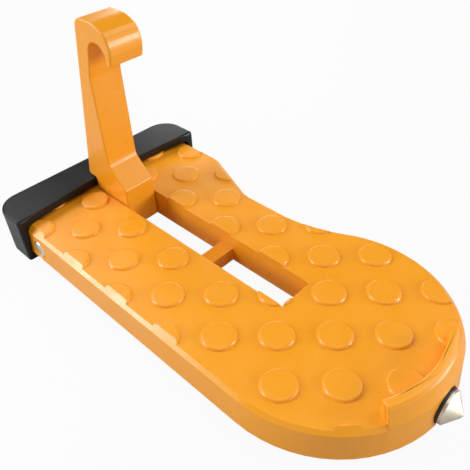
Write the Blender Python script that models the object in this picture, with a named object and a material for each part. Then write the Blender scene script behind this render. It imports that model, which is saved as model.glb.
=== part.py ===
"""Folding car door step: a cast foot plate with a swing-up latch hook, a rear cap and a hammer tip.

Units are metres and +Z is up. The plate lies flat. +X runs along it from the rear cap to the hammer tip, +Y runs
across it, and the world origin is the middle of the whole object's footprint, on the surface it stands on.
Sizes along the plate are measured from its rear end, and sizes across it from the slot's middle line.
"""

import math

import bmesh
import bpy

# Running and seating gap between neighbouring pieces
GAP = 0.0003

# Plate, at the level of its rim
PLATE_LENGTH = 0.1482
PLATE_WIDTH = 0.0732
PLATE_THICKNESS = 0.0111
WALL_DRAFT = 0.0009
REAR_CORNER_RADIUS = 0.005
UNDERSIDE_EDGE = 0.0006

# Waist on the +Y side, behind the cap. The share is the straight part between its shoulder and its front arc
WAIST_DEPTH = 0.0099
WAIST_BEHIND_CAP = 0.0171
WAIST_FLAT_SHARE = 0.3936
WAIST_SHOULDER_RADIUS = 0.012
WAIST_REAR_RADIUS = 0.014
WAIST_FRONT_RADIUS = 0.052

# Rim, and studs that end a hair below it
RIM_HEIGHT = 0.0009
RIM_WIDTH = 0.0017
RIM_EDGE_RADIUS = 0.0012
RIM_DRAFT = 0.0002
STUD_DROP = 0.00004
STUD_RADIUS = 0.0051
STUD_SHOULDER = 0.00075
STUD_PITCH = 0.0157
STUD_GRID_TURN = 42.8
STUD_GRID_X = 0.1070
STUD_GRID_Y = 0.0069

# Crescent foot stop on the front of the rim, with its end angles from the plate's middle line
STOP_HEIGHT = 0.0040
STOP_INNER_INSET = 0.0050
STOP_NEAR_ANGLE = -30.5
STOP_FAR_ANGLE = 27.5
STOP_INNER_EDGE = 0.0006
STOP_OUTER_EDGE = 0.0012

# Slot round the folded hook, and the lowered bar across it, on which the hook comes to rest
SLOT_SIDE_CLEARANCE = 0.00035
SLOT_END_CLEARANCE = 0.0115
SLOT_TOP_RADIUS = 0.0008
SLOT_FOOT_RADIUS = 0.0018
BAR_X = 0.0626
BAR_LENGTH = 0.0055
BAR_ABOVE_PIN = 0.0008

# Cored underside
SKIN = 0.0034
OUTER_WALL = 0.0031
SLOT_WALL = 0.0030
RIB = 0.0021
RIB_PITCH = 0.0145
NEAR_RIB_Y = -0.0215
FAR_RIB_Y = 0.0172

# Hinge pin, and the metal below its bore in the plate and in the hook
PIN_X = 0.0182
PIN_COVER = 0.0009
PIN_RADIUS = 0.0029
PIN_END_INSET = 0.0002
PIN_CHAMFER = 0.0003

# Hook, measured from the pin's middle
HOOK_WIDTH = 0.0121
HOOK_TOP = 0.0705
HOOK_LEAN = 12.4
HOOK_BACK_AT_TOP = 0.0020
HOOK_BACK_RADIUS = 0.0032
HOOK_EDGE = 0.0005
KNUCKLE_WALL = 0.0036
FOOT_FRONT = 0.0110
FOOT_STEP_HEIGHT = 0.0124
SHANK_FRONT = 0.0036
SHANK_FOOT_RISE = 0.0072
HEAD_THICKNESS = 0.0059
MOUTH_WIDTH = 0.0110
MOUTH_DEPTH = 0.0130
MOUTH_LEAN = 15.5
TIP_LENGTH = 0.0058
TIP_WIDTH = 0.0019
CURL_FLAT = 0.00111
CURL_THICKNESS = 0.0027
CURL_CREASE_INSET = 0.0023
CURL_CREASE_DROP = 0.0019
CURL_CREASE_ANGLE = 47.0
CURL_SHOULDER_SLOPE = 26.0
CURL_SHOULDER_RADIUS = 0.008
HEEL_GAP = 0.0004

# Rear cap
CAP_REAR_WALL = 0.0029
CAP_SIDE_WALL = 0.0018
CAP_TOP_WALL = 0.0030
CAP_BOTTOM_WALL = 0.0024
CAP_FLANGE_SAG = 0.0026
CAP_CORNER_RADIUS = 0.0082
CAP_EDGE = 0.0009

# Hammer tip
HAMMER_HEIGHT = 0.0043
HAMMER_RADIUS = 0.0050
HAMMER_NECK_RADIUS = 0.0043
HAMMER_NECK = 0.0016
HAMMER_COLLAR = 0.0008
HAMMER_POINT = 0.0034
HAMMER_POINT_RADIUS = 0.0010
HAMMER_SHANK_RADIUS = 0.0030
HAMMER_SHANK_LENGTH = 0.0130
HAMMER_SEAT_DEPTH = 0.0010
HAMMER_SEAT_CLEARANCE = 0.0004

# Facets
ARC_STEP = 6.0
ROUND_SEGMENTS = 32
STUD_SEGMENTS = 24
FLANGE_SEGMENTS = 10

# Places that follow from the sizes
HALF_WIDTH = PLATE_WIDTH / 2
BULB_X = PLATE_LENGTH - HALF_WIDTH
UNDERSIDE = CAP_BOTTOM_WALL + GAP
RIM_TOP = UNDERSIDE + PLATE_THICKNESS
TREAD = RIM_TOP - RIM_HEIGHT
STUD_HEIGHT = RIM_HEIGHT - STUD_DROP
BORE_RADIUS = PIN_RADIUS + GAP
KNUCKLE_RADIUS = BORE_RADIUS + KNUCKLE_WALL
PIN_HEIGHT = BORE_RADIUS + PIN_COVER
PIN_Z = UNDERSIDE + PIN_HEIGHT
SLOT_WIDTH = HOOK_WIDTH + 2 * SLOT_SIDE_CLEARANCE
SLOT_REAR_X = PIN_X - KNUCKLE_RADIUS - GAP
SLOT_FRONT_X = PIN_X + HOOK_TOP + SLOT_END_CLEARANCE
BAR_TOP = PIN_Z + BAR_ABOVE_PIN
REAR_BLOCK_LENGTH = PIN_X + BORE_RADIUS + OUTER_WALL
WALL_SLOPE = WALL_DRAFT / PLATE_THICKNESS
PIN_WALL_Y = HALF_WIDTH + WALL_SLOPE * (RIM_TOP - PIN_Z)
CAP_TOP = RIM_TOP + GAP + CAP_TOP_WALL
CAP_REAR_X = -GAP - CAP_REAR_WALL
CAP_HALF_WIDTH = HALF_WIDTH + WALL_DRAFT + GAP + CAP_SIDE_WALL
CAP_MIDDLE_DEPTH = SLOT_REAR_X - GAP
CAP_DEPTH = CAP_MIDDLE_DEPTH + CAP_FLANGE_SAG
HAMMER_Z = UNDERSIDE + HAMMER_HEIGHT
HAMMER_SEAT_X = PLATE_LENGTH - HAMMER_SEAT_DEPTH
HAMMER_NECK_X = HAMMER_SEAT_X + GAP
HAMMER_END_X = HAMMER_NECK_X + HAMMER_NECK + HAMMER_COLLAR + HAMMER_POINT
MIDDLE_X = (CAP_REAR_X + HAMMER_END_X) / 2


def clear_scene():
    for obj in list(bpy.data.objects):
        bpy.data.objects.remove(obj)


def painted(name, colour, roughness, metallic):
    """A Principled material with one colour."""
    material = bpy.data.materials.new(name)
    material.use_nodes = True
    shader = material.node_tree.nodes["Principled BSDF"]
    shader.inputs["Base Color"].default_value = (*colour, 1.0)
    shader.inputs["Roughness"].default_value = roughness
    shader.inputs["Metallic"].default_value = metallic
    return material


# Outlines in a plane

def arc(centre, radius, start, end, steps=None):
    """Points along a circle from the start to the end angle, in degrees, both included."""
    steps = steps or max(1, math.ceil(abs(end - start) / ARC_STEP))
    points = []
    for i in range(steps + 1):
        angle = math.radians(start + (end - start) * i / steps)
        points.append((centre[0] + radius * math.cos(angle), centre[1] + radius * math.sin(angle)))
    return points


def headings(before, corner, after):
    """The direction into a corner and the turn there, in radians."""
    into = math.atan2(corner[1] - before[1], corner[0] - before[0])
    out = math.atan2(after[1] - corner[1], after[0] - corner[0])
    return into, (out - into + math.pi) % (2 * math.pi) - math.pi


def fillet(before, corner, after, radius):
    """The arc that rounds one corner of an outline, or the corner itself where the radius is nought."""
    into, turn = headings(before, corner, after)
    if radius == 0 or abs(turn) < 1e-6:
        return [corner]
    reach = radius * math.tan(abs(turn) / 2)
    side = math.copysign(1, turn)
    start = (corner[0] - reach * math.cos(into), corner[1] - reach * math.sin(into))
    centre = (start[0] - side * radius * math.sin(into), start[1] + side * radius * math.cos(into))
    first = math.degrees(into - side * math.pi / 2)
    return arc(centre, radius, first, first + math.degrees(turn))


def rounded_outline(corners):
    """A closed outline through (x, y, radius) corners. Fillets that meet on one edge are as large as it lets them be."""
    spots = [(x, y) for x, y, radius in corners]
    following = spots[1:] + spots[:1]
    reaches = []
    for i, (x, y, radius) in enumerate(corners):
        turn = headings(spots[i - 1], spots[i], following[i])[1]
        reaches.append(radius * math.tan(abs(turn) / 2))
    fits = []
    for i, spot in enumerate(spots):
        wanted = reaches[i] + reaches[(i + 1) % len(reaches)]
        fits.append(min(1.0, math.dist(spot, following[i]) / wanted) if wanted else 1.0)
    points = []
    for i, (x, y, radius) in enumerate(corners):
        points += fillet(spots[i - 1], spots[i], following[i], radius * min(fits[i - 1], fits[i]))
    return points


def offset_outline(points, distance):
    """A counter-clockwise outline moved outward by the distance, point by point."""
    moved = []
    for i, point in enumerate(points):
        before = points[i - 1]
        after = points[(i + 1) % len(points)]
        first = math.atan2(point[1] - before[1], point[0] - before[0])
        second = math.atan2(after[1] - point[1], after[0] - point[0])
        half_turn = ((second - first + math.pi) % (2 * math.pi) - math.pi) / 2
        normal = first + half_turn - math.pi / 2
        reach = distance / math.cos(half_turn)
        moved.append((point[0] + reach * math.cos(normal), point[1] + reach * math.sin(normal)))
    return moved


def rectangle(x_low, x_high, y_low, y_high, radius=0.0):
    corners = [(x_low, y_low), (x_high, y_low), (x_high, y_high), (x_low, y_high)]
    return rounded_outline([(x, y, radius) for x, y in corners])


# Solids

def add_object(name, mesh_builder, place=(0, 0, 0), parent=None):
    """A new object from a bmesh, with its normals pointing out."""
    bmesh.ops.recalc_face_normals(mesh_builder, faces=mesh_builder.faces)
    if mesh_builder.calc_volume(signed=True) < 0:
        bmesh.ops.reverse_faces(mesh_builder, faces=mesh_builder.faces)
    mesh = bpy.data.meshes.new(name)
    mesh_builder.to_mesh(mesh)
    mesh_builder.free()
    obj = bpy.data.objects.new(name, mesh)
    bpy.context.scene.collection.objects.link(obj)
    obj.location = place
    obj.parent = parent
    return obj


def add_loft(mesh_builder, rings):
    """Skins closed rings of equally many points, and closes both ends."""
    loops = [[mesh_builder.verts.new(point) for point in ring] for ring in rings]
    for lower, upper in zip(loops, loops[1:]):
        for i in range(len(lower)):
            j = (i + 1) % len(lower)
            mesh_builder.faces.new((lower[i], lower[j], upper[j], upper[i]))
    mesh_builder.faces.new(loops[0])
    mesh_builder.faces.new(loops[-1])


def level(outline, height, offset=0.0):
    """One flat ring of an upright loft."""
    moved = offset_outline(outline, offset) if offset else outline
    return [(x, y, height) for x, y in moved]


def prism(name, outline, low, high, parent):
    builder = bmesh.new()
    add_loft(builder, [level(outline, low), level(outline, high)])
    return add_object(name, builder, parent=parent)


def blocks(name, boxes, parent):
    """Separate plain blocks, each given by its low and high corner."""
    builder = bmesh.new()
    for low, high in boxes:
        outline = rectangle(low[0], high[0], low[1], high[1])
        add_loft(builder, [level(outline, low[2]), level(outline, high[2])])
    return add_object(name, builder, parent=parent)


def turned_rings(profile, axis, segments):
    """Rings of a turned piece from (distance along the axis, radius) pairs."""
    rings = []
    for along, radius in profile:
        ring = []
        for i in range(segments):
            angle = 2 * math.pi * i / segments
            a, b = radius * math.cos(angle), radius * math.sin(angle)
            ring.append({"X": (along, a, b), "Y": (b, along, a), "Z": (a, b, along)}[axis])
        rings.append(ring)
    return rings


def turned(name, profile, axis, place, parent, segments=ROUND_SEGMENTS):
    builder = bmesh.new()
    add_loft(builder, turned_rings(profile, axis, segments))
    return add_object(name, builder, place=place, parent=parent)


def combine(target, tool, operation):
    """A live Boolean. The tool is hidden from renders."""
    modifier = target.modifiers.new(tool.name, "BOOLEAN")
    modifier.operation = operation
    modifier.object = tool
    tool.hide_render = True
    tool.display_type = "WIRE"


def soften(obj, width, segments=2, angle=40.0):
    modifier = obj.modifiers.new("edges", "BEVEL")
    modifier.width = width
    modifier.segments = segments
    modifier.limit_method = "ANGLE"
    modifier.angle_limit = math.radians(angle)


def finish(obj, material, smooth_angle=38.0):
    obj.data.materials.append(material)
    obj.data.shade_smooth()
    obj.data.set_sharp_from_angle(angle=math.radians(smooth_angle))


# Step body

def plate_outline():
    """The plate seen from above at rim level: straight near side, round front end, waist on the far side.

    The waist's front arc touches both the round front end and the waist's straight stretch.
    """
    waist = HALF_WIDTH - WAIST_DEPTH
    rise = waist + WAIST_FRONT_RADIUS
    back = math.sqrt((HALF_WIDTH + WAIST_FRONT_RADIUS) ** 2 - rise ** 2)
    touch = math.degrees(math.atan2(rise, -back))
    bulb = arc((BULB_X, 0), HALF_WIDTH, -90, touch)
    waist_front = arc((BULB_X - back, rise), WAIST_FRONT_RADIUS, touch - 180, -90)
    start_x = CAP_DEPTH + WAIST_BEHIND_CAP
    flat = WAIST_FLAT_SHARE * (BULB_X - back - start_x)
    corners = [(x, y, 0.0) for x, y in bulb + waist_front[1:]]
    corners += [
        (BULB_X - back - flat, waist, WAIST_REAR_RADIUS),
        (start_x, HALF_WIDTH, WAIST_SHOULDER_RADIUS),
        (0.0, HALF_WIDTH, REAR_CORNER_RADIUS),
        (0.0, -HALF_WIDTH, REAR_CORNER_RADIUS),
    ]
    return rounded_outline(corners)


def plate_blank(parent):
    """The casting before its slot, studs and coring: drafted wall, rounded rim, tread sunk inside the rim."""
    outline = plate_outline()
    wall_top = RIM_TOP - RIM_EDGE_RADIUS
    rings = [
        level(outline, UNDERSIDE, WALL_DRAFT - UNDERSIDE_EDGE),
        level(outline, UNDERSIDE + UNDERSIDE_EDGE, WALL_DRAFT),
        level(outline, wall_top),
    ]
    for degrees in (30, 60, 90):
        angle = math.radians(degrees)
        inset = RIM_EDGE_RADIUS * (1 - math.cos(angle))
        rings.append(level(outline, wall_top + RIM_EDGE_RADIUS * math.sin(angle), -inset))
    rings.append(level(outline, RIM_TOP, -RIM_WIDTH))
    rings.append(level(outline, TREAD, -RIM_WIDTH - RIM_DRAFT))
    builder = bmesh.new()
    add_loft(builder, rings)
    return add_object("step_body", builder, parent=parent)


def distance_to(outline, point):
    """How far the point is from the nearest edge of the outline."""
    nearest = math.inf
    for (x1, y1), (x2, y2) in zip(outline, outline[1:] + outline[:1]):
        along = (point[0] - x1) * (x2 - x1) + (point[1] - y1) * (y2 - y1)
        share = min(1, max(0, along / ((x2 - x1) ** 2 + (y2 - y1) ** 2)))
        nearest = min(nearest, math.hypot(point[0] - x1 - share * (x2 - x1), point[1] - y1 - share * (y2 - y1)))
    return nearest


def stud_centres():
    """Grid points whose studs reach in past the rim by more than their rounded shoulder."""
    turn = math.radians(STUD_GRID_TURN)
    inside = offset_outline(plate_outline(), -RIM_WIDTH)
    count = math.ceil(PLATE_LENGTH / STUD_PITCH)
    centres = []
    for i in range(-2 * count, count):
        for j in range(-2 * count, count):
            x = STUD_GRID_X + STUD_PITCH * (i * math.cos(turn) + j * math.sin(turn))
            y = STUD_GRID_Y + STUD_PITCH * (i * math.sin(turn) - j * math.cos(turn))
            reach = STUD_RADIUS - STUD_SHOULDER
            if contains(inside, (x, y)) or distance_to(inside, (x, y)) < reach:
                centres.append((x, y))
    return centres


def contains(outline, point):
    """Whether the point is inside the outline, by counting the edges to its right."""
    inside = False
    for (x1, y1), (x2, y2) in zip(outline, outline[1:] + outline[:1]):
        if (y1 > point[1]) != (y2 > point[1]):
            crossing = x1 + (point[1] - y1) * (x2 - x1) / (y2 - y1)
            inside ^= crossing > point[0]
    return inside


def studs(parent):
    """All studs, trimmed to the flat between the rim's outer roundings."""
    profile = [(TREAD - RIM_HEIGHT, STUD_RADIUS)]
    for degrees in (0, 30, 60, 90):
        angle = math.radians(degrees)
        inset = STUD_SHOULDER * (1 - math.cos(angle))
        profile.append((TREAD + STUD_HEIGHT * math.sin(angle), STUD_RADIUS - inset))
    builder = bmesh.new()
    for x, y in stud_centres():
        rings = turned_rings(profile, "Z", STUD_SEGMENTS)
        add_loft(builder, [[(x + px, y + py, pz) for px, py, pz in ring] for ring in rings])
    group = add_object("studs", builder, parent=parent)
    trim = offset_outline(plate_outline(), -(RIM_EDGE_RADIUS + RIM_WIDTH) / 2)
    combine(group, prism("stud_trim", trim, TREAD - 3 * RIM_HEIGHT, RIM_TOP + RIM_HEIGHT, parent), "INTERSECT")
    return group


def foot_stop(parent):
    """The raised crescent round the front: the drafted wall carried up, and kept between two end angles."""
    outline = plate_outline()
    top = RIM_TOP + STOP_HEIGHT
    wall_foot = RIM_TOP - 0.97 * RIM_EDGE_RADIUS
    edge_start = top - STOP_OUTER_EDGE
    lean = WALL_SLOPE * (edge_start - wall_foot)
    rings = [level(outline, TREAD - RIM_HEIGHT, -RIM_WIDTH), level(outline, wall_foot)]
    for degrees in (0, 30, 60, 90):
        angle = math.radians(degrees)
        inset = lean + STOP_OUTER_EDGE * (1 - math.cos(angle))
        rings.append(level(outline, edge_start + STOP_OUTER_EDGE * math.sin(angle), -inset))
    builder = bmesh.new()
    add_loft(builder, rings)
    stop = add_object("foot_stop", builder, parent=parent)

    inner = HALF_WIDTH - STOP_INNER_INSET
    outer = HALF_WIDTH + STOP_INNER_INSET

    steps = math.ceil((STOP_FAR_ANGLE - STOP_NEAR_ANGLE) / ARC_STEP)

    def sector(height, trim):
        turn = math.degrees(trim / HALF_WIDTH)
        low, high = STOP_NEAR_ANGLE + turn, STOP_FAR_ANGLE - turn
        front = arc((BULB_X, 0), outer, low, high, steps)
        return level(front + arc((BULB_X, 0), inner + trim, high, low, steps), height)

    eased = STOP_INNER_EDGE * (1 - math.cos(math.radians(45)))
    builder = bmesh.new()
    add_loft(builder, [
        sector(TREAD - 2 * RIM_HEIGHT, 0),
        sector(top - STOP_INNER_EDGE, 0),
        sector(top - eased, eased),
        sector(top, STOP_INNER_EDGE),
        sector(top + RIM_HEIGHT, STOP_INNER_EDGE),
    ])
    combine(stop, add_object("stop_sector", builder, parent=parent), "INTERSECT")
    return stop


def cut_slot(body, parent):
    """The long slot. Its cutter leaves the bar standing, and rounder corners at the foot of its front end."""
    half = SLOT_WIDTH / 2
    below = UNDERSIDE - RIM_HEIGHT
    outline = rectangle(SLOT_REAR_X, SLOT_FRONT_X, -half, half, SLOT_TOP_RADIUS)
    slot = prism("slot", outline, below, RIM_TOP + STOP_HEIGHT, parent)
    bar = ((BAR_X, -SLOT_WIDTH, below - GAP), (BAR_X + BAR_LENGTH, SLOT_WIDTH, BAR_TOP))
    combine(slot, blocks("bar", [bar], parent), "DIFFERENCE")

    radius = SLOT_FOOT_RADIUS
    curve = arc((SLOT_FRONT_X - radius, half - radius), radius, 0, 90)
    corner = [(SLOT_FRONT_X + radius, half - radius)] + curve
    corner += [(SLOT_FRONT_X - radius, half + radius), (SLOT_FRONT_X + radius, half + radius)]
    for name, side in (("far_foot", 1), ("near_foot", -1)):
        outline = [(x, side * y) for x, y in corner]
        combine(slot, prism(name, outline, below - GAP, BAR_TOP, parent), "DIFFERENCE")
    combine(body, slot, "DIFFERENCE")


def coring(parent):
    """The pockets of the underside, left between the walls, the ribs and the blocks round pin and hammer."""
    ceiling = TREAD - SKIN
    below = UNDERSIDE - RIM_HEIGHT
    above = ceiling + SKIN / 2
    inner = offset_outline(plate_outline(), -OUTER_WALL)
    pockets = prism("pockets", inner, below, ceiling, parent)

    half = SLOT_WIDTH / 2 + SLOT_WALL
    slot_block = ((-GAP, -half, below - GAP), (SLOT_FRONT_X + SLOT_WALL, half, above))
    rear_block = ((-GAP, -PLATE_WIDTH, below - GAP), (REAR_BLOCK_LENGTH, PLATE_WIDTH, above))
    hammer_rear_x = HAMMER_NECK_X - HAMMER_SHANK_LENGTH - OUTER_WALL
    hammer_half = HAMMER_SHANK_RADIUS + OUTER_WALL
    hammer_block = ((hammer_rear_x, -hammer_half, below - GAP), (PLATE_LENGTH, hammer_half, above))
    for name, box in (("slot_walls", slot_block), ("rear_block", rear_block), ("hammer_block", hammer_block)):
        combine(pockets, blocks(name, [box], parent), "DIFFERENCE")

    long_ribs = []
    for y in (NEAR_RIB_Y, FAR_RIB_Y):
        long_ribs.append(((-GAP, y - RIB / 2, below - GAP), (PLATE_LENGTH, y + RIB / 2, above)))
    combine(pockets, blocks("long_ribs", long_ribs, parent), "DIFFERENCE")
    middle_rib = ((SLOT_FRONT_X, -RIB / 2, below - GAP), (PLATE_LENGTH, RIB / 2, above))
    combine(pockets, blocks("middle_rib", [middle_rib], parent), "DIFFERENCE")

    cross_ribs = []
    x = REAR_BLOCK_LENGTH + RIB_PITCH - RIB
    while x < PLATE_LENGTH - RIB_PITCH / 2:
        cross_ribs.append(((x, -PLATE_WIDTH, below - GAP), (x + RIB, PLATE_WIDTH, above)))
        x += RIB_PITCH
    combine(pockets, blocks("cross_ribs", cross_ribs, parent), "DIFFERENCE")
    return pockets


def cut_bores(body, parent):
    """The pin's bore across the plate, and the hammer tip's seat in the front wall."""
    past = PIN_WALL_Y + WALL_DRAFT
    mouth = PIN_WALL_Y - PIN_CHAMFER
    flare = BORE_RADIUS + past - mouth
    profile = [(-past, flare), (-mouth, BORE_RADIUS), (mouth, BORE_RADIUS), (past, flare)]
    combine(body, turned("pin_bore", profile, "Y", (PIN_X, 0, PIN_Z), parent), "DIFFERENCE")

    shank = HAMMER_SHANK_RADIUS + GAP
    seat = HAMMER_RADIUS + HAMMER_SEAT_CLEARANCE
    bottom_x = HAMMER_NECK_X - HAMMER_SHANK_LENGTH - GAP
    front_x = PLATE_LENGTH + 2 * WALL_DRAFT
    profile = [(bottom_x, shank), (HAMMER_SEAT_X, shank), (HAMMER_SEAT_X, seat), (front_x, seat)]
    combine(body, turned("hammer_bore", profile, "X", (0, 0, HAMMER_Z), parent), "DIFFERENCE")


def step_body(parent, material):
    body = plate_blank(parent)
    combine(body, studs(parent), "UNION")
    combine(body, foot_stop(parent), "UNION")
    combine(body, coring(parent), "DIFFERENCE")
    cut_slot(body, parent)
    cut_bores(body, parent)
    finish(body, material)
    return body


# Hook

def hook_outline():
    """The hook from the side, measured from the pin: +x to the front, +y up."""
    lean = math.tan(math.radians(HOOK_LEAN))
    heel_bottom = CAP_TOP + HEEL_GAP - PIN_Z

    def back_x(height):
        return HOOK_BACK_AT_TOP - (HOOK_TOP - height) * lean

    foot_bottom = -PIN_HEIGHT
    knuckle_end = 180 + math.degrees(math.asin(PIN_HEIGHT / KNUCKLE_RADIUS))
    mouth_top = HOOK_TOP - HEAD_THICKNESS
    mouth_bend = mouth_top - MOUTH_DEPTH
    mouth_left = SHANK_FRONT + MOUTH_DEPTH * math.tan(math.radians(MOUTH_LEAN))
    mouth_right = SHANK_FRONT + MOUTH_WIDTH
    mouth_turn = math.tan(math.radians(90 - MOUTH_LEAN) / 2)
    mouth_radius = 0.98 * (mouth_right - mouth_left) / (1 + mouth_turn)
    tip_end = mouth_top - TIP_LENGTH
    curl_x = mouth_right + CURL_THICKNESS
    crease_angle = math.radians(CURL_CREASE_ANGLE)
    curl_radius = CURL_CREASE_INSET / (1 - math.cos(crease_angle))
    curl_z = HOOK_TOP - CURL_CREASE_DROP - curl_radius * math.sin(crease_angle)
    shoulder_run = CURL_CREASE_DROP / math.tan(math.radians(CURL_SHOULDER_SLOPE))
    corners = [(x, y, 0.0) for x, y in arc((0, 0), KNUCKLE_RADIUS, 180, knuckle_end)]
    corners += [
        (FOOT_FRONT, foot_bottom, 0.0012),
        (FOOT_FRONT, FOOT_STEP_HEIGHT, 0.0014),
        (SHANK_FRONT, FOOT_STEP_HEIGHT + SHANK_FOOT_RISE, 0.0045),
        (SHANK_FRONT, mouth_bend, 0.0080),
        (mouth_left, mouth_top, mouth_radius),
        (mouth_right, mouth_top, mouth_radius),
        (mouth_right, tip_end, 0.0),
        (mouth_right + TIP_WIDTH, tip_end, 0.0007),
        (curl_x, curl_z - CURL_FLAT, 0.0020),
    ]
    curl = arc((curl_x - curl_radius, curl_z), curl_radius, 0, CURL_CREASE_ANGLE)
    corners += [(x, y, 0.0) for x, y in curl]
    corners += [
        (curl_x - CURL_CREASE_INSET - shoulder_run, HOOK_TOP, CURL_SHOULDER_RADIUS),
        (HOOK_BACK_AT_TOP, HOOK_TOP, HOOK_BACK_RADIUS),
        (back_x(heel_bottom), heel_bottom, 0.0012),
        (-KNUCKLE_RADIUS, heel_bottom, 0.0008),
    ]
    return rounded_outline(corners)


def hook(parent, material):
    """The hook, with its side edges rounded over."""
    outline = hook_outline()
    half_rings = []
    for degrees in (0, 30, 60, 90):
        angle = math.radians(degrees)
        inset = HOOK_EDGE * (1 - math.sin(angle))
        half_rings.append((offset_outline(outline, -inset), HOOK_WIDTH / 2 - HOOK_EDGE * (1 - math.cos(angle))))
    rings = [[(x, -y, z) for x, z in ring] for ring, y in half_rings]
    rings += [[(x, y, z) for x, z in ring] for ring, y in reversed(half_rings)]
    builder = bmesh.new()
    add_loft(builder, rings)
    body = add_object("hook", builder, place=(PIN_X, 0, PIN_Z), parent=parent)
    bore_profile = [(-HOOK_WIDTH, BORE_RADIUS), (HOOK_WIDTH, BORE_RADIUS)]
    bore_tool = turned("hook_bore", bore_profile, "Y", (PIN_X, 0, PIN_Z), parent)
    combine(body, bore_tool, "DIFFERENCE")
    finish(body, material)
    return body


# Pin, cap and hammer tip

def hinge_pin(parent, material):
    end = PIN_WALL_Y - PIN_END_INSET
    shoulder = end - PIN_CHAMFER
    tip = PIN_RADIUS - PIN_CHAMFER
    profile = [(-end, tip), (-shoulder, PIN_RADIUS), (shoulder, PIN_RADIUS), (end, tip)]
    pin = turned("hinge_pin", profile, "Y", (PIN_X, 0, PIN_Z), parent)
    finish(pin, material)
    return pin


def rear_cap(parent, material):
    """A moulded sleeve: round rear corners, body-shaped pocket, both flanges drawn back in a shallow curve."""
    corners = [
        (CAP_REAR_X, -CAP_HALF_WIDTH, CAP_CORNER_RADIUS),
        (CAP_DEPTH, -CAP_HALF_WIDTH, 0.0),
        (CAP_DEPTH, CAP_HALF_WIDTH, 0.0),
        (CAP_REAR_X, CAP_HALF_WIDTH, CAP_CORNER_RADIUS),
    ]
    cap = prism("rear_cap", rounded_outline(corners), 0.0, CAP_TOP, parent)
    soften(cap, CAP_EDGE)

    radius = REAR_CORNER_RADIUS + GAP
    outline = rounded_outline([
        (-GAP, -HALF_WIDTH - GAP, radius),
        (2 * CAP_DEPTH, -HALF_WIDTH - GAP, 0.0),
        (2 * CAP_DEPTH, HALF_WIDTH + GAP, 0.0),
        (-GAP, HALF_WIDTH + GAP, radius),
    ])
    ease = RIM_EDGE_RADIUS * (1 - math.cos(math.radians(45)))
    builder = bmesh.new()
    add_loft(builder, [
        level(outline, UNDERSIDE - GAP, WALL_DRAFT - UNDERSIDE_EDGE / 2),
        level(outline, UNDERSIDE + UNDERSIDE_EDGE, WALL_DRAFT),
        level(outline, RIM_TOP - RIM_EDGE_RADIUS),
        level(outline, RIM_TOP - ease, -ease / 2),
        level(outline, RIM_TOP + GAP, -RIM_EDGE_RADIUS),
    ])
    combine(cap, add_object("cap_pocket", builder, parent=parent), "DIFFERENCE")

    chord = HALF_WIDTH
    bend = (chord ** 2 + CAP_FLANGE_SAG ** 2) / (2 * CAP_FLANGE_SAG)
    half_angle = math.degrees(math.asin(chord / bend))
    curve = arc((CAP_MIDDLE_DEPTH + bend, 0), bend, 180 + half_angle, 180 - half_angle, FLANGE_SEGMENTS)
    outline = [(x, y) for x, y in curve] + [(3 * CAP_DEPTH, chord), (3 * CAP_DEPTH, -chord)]
    flange_cut = prism("flange_cut", outline, -CAP_EDGE, CAP_TOP + CAP_EDGE, parent)
    combine(cap, flange_cut, "DIFFERENCE")
    finish(cap, material)
    return cap


def hammer_tip(parent, material):
    """A pressed-in shank, a neck, a collar and a blunt cone with a rounded end."""
    shank_edge = HAMMER_SHANK_RADIUS - PIN_CHAMFER
    collar_end = HAMMER_NECK + HAMMER_COLLAR
    point_end = collar_end + HAMMER_POINT
    profile = [
        (-HAMMER_SHANK_LENGTH, shank_edge),
        (-HAMMER_SHANK_LENGTH + PIN_CHAMFER, HAMMER_SHANK_RADIUS),
        (0.0, HAMMER_SHANK_RADIUS),
        (0.0, HAMMER_NECK_RADIUS),
        (HAMMER_NECK, HAMMER_NECK_RADIUS),
        (HAMMER_NECK, HAMMER_RADIUS),
        (collar_end, HAMMER_RADIUS),
        (point_end - 0.5 * HAMMER_POINT_RADIUS, HAMMER_POINT_RADIUS),
        (point_end - 0.15 * HAMMER_POINT_RADIUS, 0.75 * HAMMER_POINT_RADIUS),
        (point_end, 0.3 * HAMMER_POINT_RADIUS),
    ]
    tip = turned("hammer_tip", profile, "X", (HAMMER_NECK_X, 0, HAMMER_Z), parent)
    finish(tip, material)
    return tip


def main():
    clear_scene()
    frame = bpy.data.objects.new("step_frame", None)
    bpy.context.scene.collection.objects.link(frame)
    frame.location = (-MIDDLE_X, 0, 0)

    orange = painted("orange_paint", (0.90, 0.36, 0.04), 0.38, 0.0)
    black = painted("black_cap", (0.03, 0.03, 0.03), 0.35, 0.0)
    steel = painted("bright_steel", (0.62, 0.61, 0.58), 0.25, 1.0)

    step_body(frame, orange)
    hook(frame, orange)
    hinge_pin(frame, steel)
    rear_cap(frame, black)
    hammer_tip(frame, steel)


main()
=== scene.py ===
"""Looks of the folding car door step: finer plate and tip, paint, cap, steel, studio and camera."""

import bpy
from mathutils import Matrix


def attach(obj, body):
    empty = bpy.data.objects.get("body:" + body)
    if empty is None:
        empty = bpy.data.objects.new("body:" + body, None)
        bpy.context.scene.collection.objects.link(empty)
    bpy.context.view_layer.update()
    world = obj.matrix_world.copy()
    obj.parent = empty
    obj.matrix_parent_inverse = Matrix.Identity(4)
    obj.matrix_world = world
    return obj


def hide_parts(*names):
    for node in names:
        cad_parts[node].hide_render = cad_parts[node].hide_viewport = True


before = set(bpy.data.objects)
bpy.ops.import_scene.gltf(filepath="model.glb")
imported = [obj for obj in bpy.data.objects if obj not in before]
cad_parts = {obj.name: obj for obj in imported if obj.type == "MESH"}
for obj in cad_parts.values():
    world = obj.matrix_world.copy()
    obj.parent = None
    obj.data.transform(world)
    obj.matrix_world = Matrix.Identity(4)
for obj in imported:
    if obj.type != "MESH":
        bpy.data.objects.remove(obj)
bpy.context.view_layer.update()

import math

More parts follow.
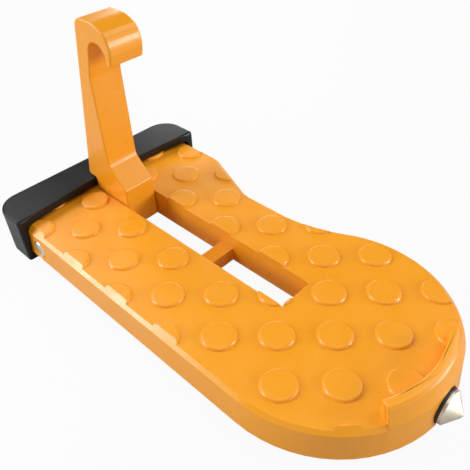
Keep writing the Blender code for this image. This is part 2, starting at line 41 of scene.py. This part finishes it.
import bmesh
import bpy
from mathutils import Euler, Vector

# Camera, in millimetres and degrees
CAMERA_PLACE = (95.18, -90.84, 132.83)
CAMERA_TURN = (49.726, 2.344, 43.993)
CAMERA_LENS = 43.37
CAMERA_CLIP_START = 10.0
SENSOR_WIDTH = 36.0

# The plate, in millimetres, as in the CAD, with its rear end at x = 0
MIDDLE_X = 75.05
PLATE_LENGTH = 148.2
HALF_WIDTH = 36.6
BULB_X = PLATE_LENGTH - HALF_WIDTH
REAR_CORNER_RADIUS = 5.0
RIM_TOP = 13.8
TREAD = 12.9

# The waist on the plate's far side, as in the CAD
WAIST_DEPTH = 9.9
WAIST_START_X = 30.5
WAIST_FLAT_SHARE = 0.3936
WAIST_FRONT_RADIUS = 52.0
WAIST_REAR_RADIUS = 14.0
WAIST_SHOULDER_RADIUS = 12.0

# The studs and their turned grid, as in the CAD. It has this many rows to each side of its middle
STUD_RADIUS = 5.1
STUD_PITCH = 15.7
STUD_GRID_TURN = 42.8
STUD_GRID_X = 107.0
STUD_GRID_Y = 6.9
STUD_GRID_ROWS = 20
STUD_GRID_MARGIN = 6

# Where the grid has no stud on the product, and which points of the CAD's small stud ends sink there
PLAIN_SPOTS = ((-3, -2), (-2, -1), (-2, 2))
SINK_SHARE = 0.02
SINK_RADIUS = STUD_RADIUS + 0.1
SINK_LOWEST = TREAD + 0.02
SINK_HIGHEST = RIM_TOP - 0.03
SINK_HALF_WIDTH = HALF_WIDTH - 1.5

# The foot stop, and the part of it that leans inwards
STOP_TOP = 17.8
STOP_NEAR_ANGLE = -30.5
STOP_FAR_ANGLE = 27.5
STOP_LEAN = 1.6
LEAN_LOWEST = RIM_TOP + 0.01
LEAN_INNER_RADIUS = HALF_WIDTH - 2.4
LEAN_END_MARGIN = 1

# The rim band and the edge wedge, which are cut off the plate
RIM_REACH = 1.95
RIM_FOOT = TREAD + 0.01
BAND_TOP = 20.0
CHAMFER = 1.0
WEDGE_REACH = 2.6
CUT_OUTSIDE = 2.0

# The stud posts and the stop's sector, where the band and the wedge leave the plate alone
POST_SIDES = 48
POST_LEVELS = (5.0, 25.0)
SECTOR_END_TRIM = 0.15
SECTOR_OUTSIDE = 4
SECTOR_INSIDE = 8

# The tip and the ring at its rear, which the tip's material paints dark as the shadow in its seat's gap.
# The point's blunt end is given as distances and radii
TIP_X = 147.5
TIP_Z = 7.0
TIP_SEGMENTS = 64
SHANK_LENGTH = 3.0
SHANK_RADIUS = 3.0
RING_RADIUS = 5.2
RING_LENGTH = 1.4
RING_EDGE = 0.15
PAINTED_SHADE_MARGIN = 0.05
COLLAR_RADIUS = 5.0
COLLAR_EDGE_LENGTH = 0.15
COLLAR_EDGE_DEPTH = 0.1
POINT_START = 2.4
POINT_END = ((5.0, 1.35), (5.35, 0.9), (5.6, 0.4), (5.7, 0.15))

# How finely arcs are drawn, in degrees, and the smallest turn that counts as a corner, in radians
ARC_STEP = 3.0
STRAIGHT_TURN = 1e-6

# How near each other the CAD's points lie that become one, in metres
MERGE_DISTANCE = 1e-6

# Turns in degrees past which an edge is drawn sharp, and how much large faces rule the shading
PLATE_SHARP_ANGLE = 22
TIP_SHARP_ANGLE = 33
NORMAL_WEIGHT = 90

# The middle of a noise's range, which is spread over a finish
NOISE_LOW = 0.3
NOISE_HIGH = 0.7

# The lamps: name, azimuth and elevation in degrees, size in metres, power in watts
LAMPS = (
    ("left_low", -132, 16, (0.30, 0.26), 3.3),
    ("left_middle", -138, 36, (0.32, 0.26), 2.1),
    ("left_high", -178, 46, (0.50, 0.40), 2.1),
    ("right_low", 36, 12, (0.30, 0.24), 3.8),
    ("right_front", -4, 12, (0.50, 0.30), 1.15),
    ("right_high", 68, 45, (0.50, 0.40), 1.9),
    ("back", 135, 14, (0.40, 0.30), 1.4),
    ("front", -72, 12, (0.50, 0.30), 0.6),
    ("front_high", -44, 50, (0.26, 0.20), 0.8),
    ("top", 0, 88, (0.55, 0.55), 1.3),
)
LAMP_DISTANCE = 0.85
LAMP_TARGET = (0, 0, 0.02)
WORLD_STRENGTH = 0.04

# The floor, which reaches this far from the middle, in metres
FLOOR_REACH = 4
FLOOR_GREY = 0.50
FLOOR_GLOSS = 0.10
FLOOR_ROUGHNESS = 0.35
FLOOR_WHITENESS = 0.94


# Materials

def linear(red, green, blue):
    """The linear colour of an 8-bit screen colour, by the sRGB formula."""
    values = []
    for value in (red, green, blue):
        share = value / 255
        values.append(share / 12.92 if share <= 0.04045 else ((share + 0.055) / 1.055) ** 2.4)
    return (*values, 1.0)


class Nodes:
    """A short way to lay out one material's nodes."""

    def __init__(self, name):
        self.material = bpy.data.materials.new(name)
        self.material.use_nodes = True
        self.tree = self.material.node_tree
        self.shader = self.tree.nodes["Principled BSDF"]

    def add(self, kind, inputs=None, **settings):
        """Adds a node, whose inputs are values or other nodes' sockets."""
        node = self.tree.nodes.new("ShaderNode" + kind)
        for key, value in settings.items():
            setattr(node, key, value)
        for key, value in (inputs or {}).items():
            self.fill(node.inputs[key], value)
        return node

    def feed(self, key, value):
        """Links or sets one socket of the shader."""
        self.fill(self.shader.inputs[key], value)

    def fill(self, socket, value):
        if isinstance(value, bpy.types.NodeSocket):
            self.tree.links.new(value, socket)
        else:
            socket.default_value = value

    def place(self):
        return self.add("TexCoord").outputs["Object"]

    def noise(self, scale, detail):
        inputs = {"Vector": self.place(), "Scale": scale, "Detail": detail}
        return self.add("TexNoise", inputs).outputs["Fac"]

    def spread(self, noise, low, high):
        """The middle of the noise's range, spread from low to high."""
        inputs = {0: noise, 1: NOISE_LOW, 2: NOISE_HIGH, 3: low, 4: high}
        return self.add("MapRange", inputs).outputs[0]

    def mix(self, share, first, second):
        return self.add("Mix", {0: share, 6: first, 7: second}, data_type="RGBA").outputs[2]

    def rounded_edges(self, radius, samples):
        """A normal that rounds the edges, with the radius in metres."""
        return self.add("Bevel", {"Radius": radius}, samples=samples).outputs["Normal"]

    def bump(self, height, strength, distance, normal=None):
        inputs = {"Height": height, "Strength": strength, "Distance": distance}
        if normal is not None:
            inputs["Normal"] = normal
        return self.add("Bump", inputs).outputs["Normal"]


def orange_paint():
    """Satin paint with slight orange peel."""
    paint = Nodes("orange_paint")
    patches = paint.spread(paint.noise(scale=28.0, detail=3.0), low=0.0, high=1.0)
    sheen = paint.noise(scale=150.0, detail=4.0)
    peel = paint.noise(scale=620.0, detail=2.0)
    edges = paint.rounded_edges(radius=0.00025, samples=8)
    paint.feed("Base Color", paint.mix(patches, linear(238, 155, 26), linear(242, 160, 32)))
    paint.feed("Roughness", paint.spread(sheen, low=0.26, high=0.38))
    paint.feed("Normal", paint.bump(peel, strength=0.10, distance=0.0004, normal=edges))
    paint.feed("Coat Weight", 0.08)
    paint.feed("Coat Roughness", 0.10)
    return paint.material


def black_cap():
    """Moulded black rubber with a fine grain."""
    cap = Nodes("black_cap")
    sheen = cap.noise(scale=300.0, detail=4.0)
    grain = cap.noise(scale=1800.0, detail=3.0)
    edges = cap.rounded_edges(radius=0.0003, samples=6)
    cap.feed("Base Color", linear(11, 11, 9))
    cap.feed("Specular IOR Level", 0.36)
    cap.feed("Roughness", cap.spread(sheen, low=0.30, high=0.40))
    cap.feed("Normal", cap.bump(grain, strength=0.05, distance=0.0002, normal=edges))
    return cap.material


def steel(name, smoothest, roughest, painted_shade_below=None):
    """Plain steel. Where the last argument is given, what lies nearer the rear than it, in metres, is
    painted shade: a dark ring that stands for the shadow in the gap of the tip's seat.
    """
    metal = Nodes(name)
    patches = metal.spread(metal.noise(scale=400.0, detail=2.0), low=0.0, high=1.0)
    sheen = metal.noise(scale=900.0, detail=3.0)
    grain = metal.noise(scale=1500.0, detail=3.0)
    bright = metal.mix(patches, linear(249, 239, 217), linear(254, 246, 229))
    metal.feed("Base Color", bright)
    metal.feed("Metallic", 1.0)
    # Painted shade: the tip's rear turns near black and not metallic, standing for the shadow in the gap
    # of its seat
    if painted_shade_below is not None:
        along = metal.add("SeparateXYZ", {0: metal.place()}).outputs[0]
        outside_painted_shade = metal.add("Math", {0: along, 1: painted_shade_below}, operation="GREATER_THAN").outputs[0]
        metal.feed("Base Color", metal.mix(outside_painted_shade, linear(30, 24, 18), bright))
        metal.feed("Metallic", outside_painted_shade)
    metal.feed("Roughness", metal.spread(sheen, low=smoothest, high=roughest))
    metal.feed("Normal", metal.bump(grain, strength=0.03, distance=0.0002))
    return metal.material


def paint_nodes():
    """Gives each CAD node its material, and returns the materials by node."""
    orange = orange_paint()
    # Where the painted shade on the tip's rear ring ends, in metres
    painted_shade_end = (TIP_X + RING_LENGTH + PAINTED_SHADE_MARGIN - MIDDLE_X) / 1000
    materials = {
        "step_body": orange,
        "hook": orange,
        "hinge_pin": steel("pin_steel", smoothest=0.30, roughest=0.45),
        "hammer_tip": steel("tip_steel", smoothest=0.34, roughest=0.48, painted_shade_below=painted_shade_end),
        "rear_cap": black_cap(),
    }
    for node, material in materials.items():
        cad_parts[node].material_slots[0].material = material
    return materials


# Outlines in a plane

def arc(centre, radius, start, end):
    """Points along a circle from the start to the end angle, in degrees, both included."""
    steps = max(1, math.ceil(abs(end - start) / ARC_STEP))
    points = []
    for i in range(steps + 1):
        angle = math.radians(start + (end - start) * i / steps)
        points.append((centre[0] + radius * math.cos(angle), centre[1] + radius * math.sin(angle)))
    return points


def headings(before, corner, after):
    """The direction into a corner and the turn there, in radians."""
    into = math.atan2(corner[1] - before[1], corner[0] - before[0])
    out = math.atan2(after[1] - corner[1], after[0] - corner[0])
    return into, (out - into + math.pi) % (2 * math.pi) - math.pi


def fillet(before, corner, after, radius):
    """The arc that rounds one corner of an outline."""
    into, turn = headings(before, corner, after)
    if radius == 0 or abs(turn) < STRAIGHT_TURN:
        return [corner]
    reach = radius * math.tan(abs(turn) / 2)
    side = math.copysign(1, turn)
    start = (corner[0] - reach * math.cos(into), corner[1] - reach * math.sin(into))
    centre = (start[0] - side * radius * math.sin(into), start[1] + side * radius * math.cos(into))
    first = math.degrees(into - side * math.pi / 2)
    return arc(centre, radius, first, first + math.degrees(turn))


def rounded_outline(corners):
    """A closed outline through (x, y, radius) corners. Fillets that meet on one edge shrink to fit it."""
    spots = [(x, y) for x, y, radius in corners]
    following = spots[1:] + spots[:1]
    reaches = []
    for i, (x, y, radius) in enumerate(corners):
        turn = headings(spots[i - 1], spots[i], following[i])[1]
        reaches.append(radius * math.tan(abs(turn) / 2))
    fits = []
    for i, spot in enumerate(spots):
        wanted = reaches[i] + reaches[(i + 1) % len(reaches)]
        fits.append(min(1.0, math.dist(spot, following[i]) / wanted) if wanted else 1.0)
    points = []
    for i, (x, y, radius) in enumerate(corners):
        points += fillet(spots[i - 1], spots[i], following[i], radius * min(fits[i - 1], fits[i]))
    return points


def plate_outline():
    """The plate's outline at rim level, as in the CAD."""
    waist = HALF_WIDTH - WAIST_DEPTH
    rise = waist + WAIST_FRONT_RADIUS
    back = math.sqrt((HALF_WIDTH + WAIST_FRONT_RADIUS) ** 2 - rise ** 2)
    touch = math.degrees(math.atan2(rise, -back))
    front = arc((BULB_X, 0), HALF_WIDTH, -90, touch)
    front += arc((BULB_X - back, rise), WAIST_FRONT_RADIUS, touch - 180, -90)[1:]
    flat = WAIST_FLAT_SHARE * (BULB_X - back - WAIST_START_X)
    corners = [(x, y, 0.0) for x, y in front]
    corners += [
        (BULB_X - back - flat, waist, WAIST_REAR_RADIUS),
        (WAIST_START_X, HALF_WIDTH, WAIST_SHOULDER_RADIUS),
        (0.0, HALF_WIDTH, REAR_CORNER_RADIUS),
        (0.0, -HALF_WIDTH, REAR_CORNER_RADIUS),
    ]
    return rounded_outline(corners)


def offset_outline(points, distance):
    """A counter-clockwise outline moved outward by the distance, point by point."""
    moved = []
    for i, point in enumerate(points):
        into, turn = headings(points[i - 1], point, points[(i + 1) % len(points)])
        normal = into + turn / 2 - math.pi / 2
        reach = distance / math.cos(turn / 2)
        moved.append((point[0] + reach * math.cos(normal), point[1] + reach * math.sin(normal)))
    return moved


def level(outline, height, offset):
    """The outline, moved outward by the offset, as a flat ring at a height."""
    return [(x, y, height) for x, y in offset_outline(outline, offset)]


# Solids

def add_skin(builder, rings, closed):
    """Skins rings of equally many points. A closed skin joins the last ring to the first. An open one gets
    a face at each end."""
    loops = [[builder.verts.new(point) for point in ring] for ring in rings]
    following = loops[1:] + (loops[:1] if closed else [])
    for lower, upper in zip(loops, following):
        for i in range(len(lower)):
            j = (i + 1) % len(lower)
            builder.faces.new((lower[i], lower[j], upper[j], upper[i]))
    if not closed:
        builder.faces.new(loops[0])
        builder.faces.new(loops[-1])


def add_solid(name, builder):
    """An object from a bmesh in design millimetres, with its normals pointing out."""
    for vertex in builder.verts:
        vertex.co = ((vertex.co.x - MIDDLE_X) / 1000, vertex.co.y / 1000, vertex.co.z / 1000)
    bmesh.ops.recalc_face_normals(builder, faces=builder.faces)
    if builder.calc_volume(signed=True) < 0:
        bmesh.ops.reverse_faces(builder, faces=builder.faces)
    mesh = bpy.data.meshes.new(name)
    builder.to_mesh(mesh)
    builder.free()
    solid = bpy.data.objects.new(name, mesh)
    bpy.context.scene.collection.objects.link(solid)
    return solid


def add_ring_solid(name, rings):
    """A solid that runs all round the plate, from the rings of its section's corners."""
    builder = bmesh.new()
    add_skin(builder, rings, True)
    return add_solid(name, builder)


def cut(target, tool):
    """Takes the tool's shape out of the target, and deletes the tool."""
    modifier = target.modifiers.new("cut", "BOOLEAN")
    modifier.operation = "DIFFERENCE"
    modifier.solver = "EXACT"
    modifier.object = tool
    graph = bpy.context.evaluated_depsgraph_get()
    mesh = bpy.data.meshes.new_from_object(target.evaluated_get(graph))
    target.modifiers.clear()
    target.data = mesh
    bpy.data.objects.remove(tool)


def shade(piece, material, sharp_angle):
    """Gives the piece its material, and smooth faces between edges sharper than the angle."""
    piece.data.materials.clear()
    piece.data.materials.append(material)
    piece.data.shade_smooth()
    piece.data.set_sharp_from_angle(angle=math.radians(sharp_angle))


# The plate

def stop_sector():
    """The space that the raised stop takes, cut off just inside its two ends."""
    builder = bmesh.new()
    low, high = STOP_NEAR_ANGLE + SECTOR_END_TRIM, STOP_FAR_ANGLE - SECTOR_END_TRIM
    outline = arc((BULB_X, 0), HALF_WIDTH + SECTOR_OUTSIDE, low, high)
    outline += arc((BULB_X, 0), HALF_WIDTH - SECTOR_INSIDE, high, low)
    add_skin(builder, [[(x, y, height) for x, y in outline] for height in POST_LEVELS], False)
    return add_solid("stop_sector", builder)


def stud_centres(plain):
    """The stud grid's points near the plate: those that the product leaves plain, or all others."""
    turn = math.radians(STUD_GRID_TURN)
    centres = []
    for i in range(-STUD_GRID_ROWS, STUD_GRID_ROWS):
        for j in range(-STUD_GRID_ROWS, STUD_GRID_ROWS):
            x = STUD_GRID_X + STUD_PITCH * (i * math.cos(turn) + j * math.sin(turn))
            y = STUD_GRID_Y + STUD_PITCH * (i * math.sin(turn) - j * math.cos(turn))
            along = -STUD_GRID_MARGIN < x < PLATE_LENGTH + STUD_GRID_MARGIN
            across = abs(y) < HALF_WIDTH + STUD_GRID_MARGIN
            if along and across and ((i, j) in PLAIN_SPOTS) == plain:
                centres.append((x, y))
    return centres


def stud_posts():
    """Posts of the studs' radius, where the rim's cut leaves the studs alone."""
    builder = bmesh.new()
    for x, y in stud_centres(False):
        rings = []
        for height in POST_LEVELS:
            ring = []
            for i in range(POST_SIDES):
                angle = math.radians(360 / POST_SIDES * i)
                ring.append((x + STUD_RADIUS * math.cos(angle), y + STUD_RADIUS * math.sin(angle), height))
            rings.append(ring)
        add_skin(builder, rings, False)
    return add_solid("stud_posts", builder)


def flatten_stud(vertex):
    """Sinks the small ends of studs where the product's tread is plain. The vertex is in millimetres."""
    x, y, z = vertex.co
    if z < SINK_LOWEST or z > SINK_HIGHEST or abs(y) > SINK_HALF_WIDTH:
        return
    for centre in stud_centres(True):
        if math.dist((x, y), centre) < SINK_RADIUS:
            vertex.co.z = TREAD + SINK_SHARE * (z - TREAD)


def lean_stop(vertex):
    """Moves the stop's outer part inwards, most at its top. The vertex is in metres."""
    x, y, z = 1000 * vertex.co.x + MIDDLE_X, 1000 * vertex.co.y, 1000 * vertex.co.z
    out = math.hypot(x - BULB_X, y)
    angle = math.degrees(math.atan2(y, x - BULB_X))
    beside = angle < STOP_NEAR_ANGLE - LEAN_END_MARGIN or angle > STOP_FAR_ANGLE + LEAN_END_MARGIN
    if beside or z < LEAN_LOWEST or out < LEAN_INNER_RADIUS:
        return
    share = 1 - STOP_LEAN * (z - TREAD) / (STOP_TOP - TREAD) / out
    vertex.co = ((BULB_X + (x - BULB_X) * share - MIDDLE_X) / 1000, y * share / 1000, z / 1000)


def cad_plate():
    """A copy of the CAD's plate, as one closed mesh without its own normals and the small stud ends."""
    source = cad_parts["step_body"].data.copy()
    if "custom_normal" in source.attributes:
        source.attributes.remove(source.attributes["custom_normal"])
    shape = bmesh.new()
    shape.from_mesh(source)
    bpy.data.meshes.remove(source)
    bmesh.ops.remove_doubles(shape, verts=shape.verts, dist=MERGE_DISTANCE)
    for vertex in shape.verts:
        vertex.co = (1000 * vertex.co.x + MIDDLE_X, 1000 * vertex.co.y, 1000 * vertex.co.z)
        flatten_stud(vertex)
    return add_solid("step_plate", shape)


def rim_band(outline):
    """The CAD's raised rim, without the stretches that are studs or the stop."""
    band = add_ring_solid("rim_band", [
        level(outline, RIM_FOOT, CUT_OUTSIDE),
        level(outline, BAND_TOP, CUT_OUTSIDE),
        level(outline, BAND_TOP, -RIM_REACH),
        level(outline, RIM_FOOT, -RIM_REACH),
    ])
    cut(band, stud_posts())
    cut(band, stop_sector())
    return band


def edge_wedge(outline):
    """What lies outside the chamfer, which rises at 45 degrees from the wall through the outer studs."""
    low = TREAD - CHAMFER
    wedge = add_ring_solid("edge_wedge", [
        level(outline, low - CUT_OUTSIDE, CUT_OUTSIDE),
        level(outline, low + WEDGE_REACH, -WEDGE_REACH),
        level(outline, low + WEDGE_REACH, CUT_OUTSIDE),
    ])
    cut(wedge, stop_sector())
    return wedge


def fine_plate(material):
    """The CAD's plate with a flat tread, a chamfer that also cuts the outer studs, and a leaning stop."""
    plate = cad_plate()
    outline = plate_outline()
    cut(plate, rim_band(outline))
    cut(plate, edge_wedge(outline))
    for vertex in plate.data.vertices:
        lean_stop(vertex)
    shade(plate, material, PLATE_SHARP_ANGLE)
    weights = plate.modifiers.new("weights", "WEIGHTED_NORMAL")
    weights.keep_sharp = True
    weights.weight = NORMAL_WEIGHT
    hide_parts("step_body")
    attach(plate, "plate")


# The tip

def fine_tip(material):
    """The pointed steel tip with the ring that it sits in, which its material paints dark as the shadow in
    the seat.
    """
    profile = [
        (-SHANK_LENGTH, SHANK_RADIUS),
        (0.0, SHANK_RADIUS),
        (0.0, RING_RADIUS),
        (RING_LENGTH - RING_EDGE, RING_RADIUS),
        (RING_LENGTH, RING_RADIUS - RING_EDGE),
        (RING_LENGTH, COLLAR_RADIUS - COLLAR_EDGE_DEPTH),
        (RING_LENGTH + COLLAR_EDGE_LENGTH, COLLAR_RADIUS),
        (POINT_START - COLLAR_EDGE_LENGTH, COLLAR_RADIUS),
        (POINT_START, COLLAR_RADIUS - COLLAR_EDGE_DEPTH),
        *POINT_END,
    ]
    rings = []
    for along, radius in profile:
        ring = []
        for i in range(TIP_SEGMENTS):
            angle = math.radians(360 * i / TIP_SEGMENTS)
            ring.append((TIP_X + along, radius * math.cos(angle), TIP_Z + radius * math.sin(angle)))
        rings.append(ring)
    builder = bmesh.new()
    add_skin(builder, rings, False)
    tip = add_solid("pointed_tip", builder)
    shade(tip, material, TIP_SHARP_ANGLE)
    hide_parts("hammer_tip")
    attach(tip, "plate")


# Camera and studio

def add_camera():
    camera = bpy.data.objects.new("camera", bpy.data.cameras.new("camera"))
    bpy.context.scene.collection.objects.link(camera)
    camera.location = Vector(CAMERA_PLACE) / 1000
    camera.rotation_euler = Euler([math.radians(v) for v in CAMERA_TURN])
    camera.data.lens = CAMERA_LENS
    camera.data.sensor_width = SENSOR_WIDTH
    camera.data.clip_start = CAMERA_CLIP_START / 1000
    bpy.context.scene.camera = camera


def add_softbox(name, azimuth, elevation, size, power):
    """An area lamp that faces the middle of the step. Azimuth 0 is +X, 90 is +Y."""
    light = bpy.data.lights.new(name, "AREA")
    light.shape = "RECTANGLE"
    light.size, light.size_y = size
    light.energy = power
    lamp = bpy.data.objects.new(name, light)
    bpy.context.scene.collection.objects.link(lamp)
    a, e = math.radians(azimuth), math.radians(elevation)
    away = Vector((math.cos(a) * math.cos(e), math.sin(a) * math.cos(e), math.sin(e)))
    lamp.location = Vector(LAMP_TARGET) + LAMP_DISTANCE * away
    lamp.rotation_euler = away.to_track_quat("Z", "Y").to_euler()


def floor_material():
    """A pale floor that keeps the shadows, and shows nearly white to the camera."""
    ground = bpy.data.materials.new("floor")
    ground.use_nodes = True
    tree = ground.node_tree
    tree.nodes.clear()
    out = tree.nodes.new("ShaderNodeOutputMaterial")
    diffuse = tree.nodes.new("ShaderNodeBsdfDiffuse")
    diffuse.inputs["Color"].default_value = (FLOOR_GREY, FLOOR_GREY, FLOOR_GREY, 1.0)
    gloss = tree.nodes.new("ShaderNodeBsdfGlossy")
    gloss.inputs["Roughness"].default_value = FLOOR_ROUGHNESS
    sheet = tree.nodes.new("ShaderNodeMixShader")
    sheet.inputs[0].default_value = FLOOR_GLOSS
    glow = tree.nodes.new("ShaderNodeEmission")
    glow.inputs["Strength"].default_value = 1.0
    mix = tree.nodes.new("ShaderNodeMixShader")
    path = tree.nodes.new("ShaderNodeLightPath")
    seen = tree.nodes.new("ShaderNodeMath")
    seen.operation = "MULTIPLY"
    seen.inputs[1].default_value = FLOOR_WHITENESS
    tree.links.new(path.outputs["Is Camera Ray"], seen.inputs[0])
    tree.links.new(seen.outputs[0], mix.inputs[0])
    tree.links.new(diffuse.outputs[0], sheet.inputs[1])
    tree.links.new(gloss.outputs[0], sheet.inputs[2])
    tree.links.new(sheet.outputs[0], mix.inputs[1])
    tree.links.new(glow.outputs[0], mix.inputs[2])
    tree.links.new(mix.outputs[0], out.inputs[0])
    return ground


def add_studio():
    mesh = bpy.data.meshes.new("floor")
    reach = FLOOR_REACH
    corners = [(-reach, -reach, 0), (reach, -reach, 0), (reach, reach, 0), (-reach, reach, 0)]
    mesh.from_pydata(corners, [], [(0, 1, 2, 3)])
    mesh.materials.append(floor_material())
    floor = bpy.data.objects.new("floor", mesh)
    bpy.context.scene.collection.objects.link(floor)

    world = bpy.data.worlds.new("studio")
    bpy.context.scene.world = world
    world.use_nodes = True
    background = world.node_tree.nodes["Background"]
    background.inputs["Color"].default_value = (1.0, 1.0, 1.0, 1.0)
    background.inputs["Strength"].default_value = WORLD_STRENGTH
    for lamp in LAMPS:
        add_softbox(*lamp)


def main():
    bpy.context.scene.view_settings.view_transform = "Standard"
    add_camera()
    materials = paint_nodes()
    fine_plate(materials["step_body"])
    fine_tip(materials["hammer_tip"])
    add_studio()


main()
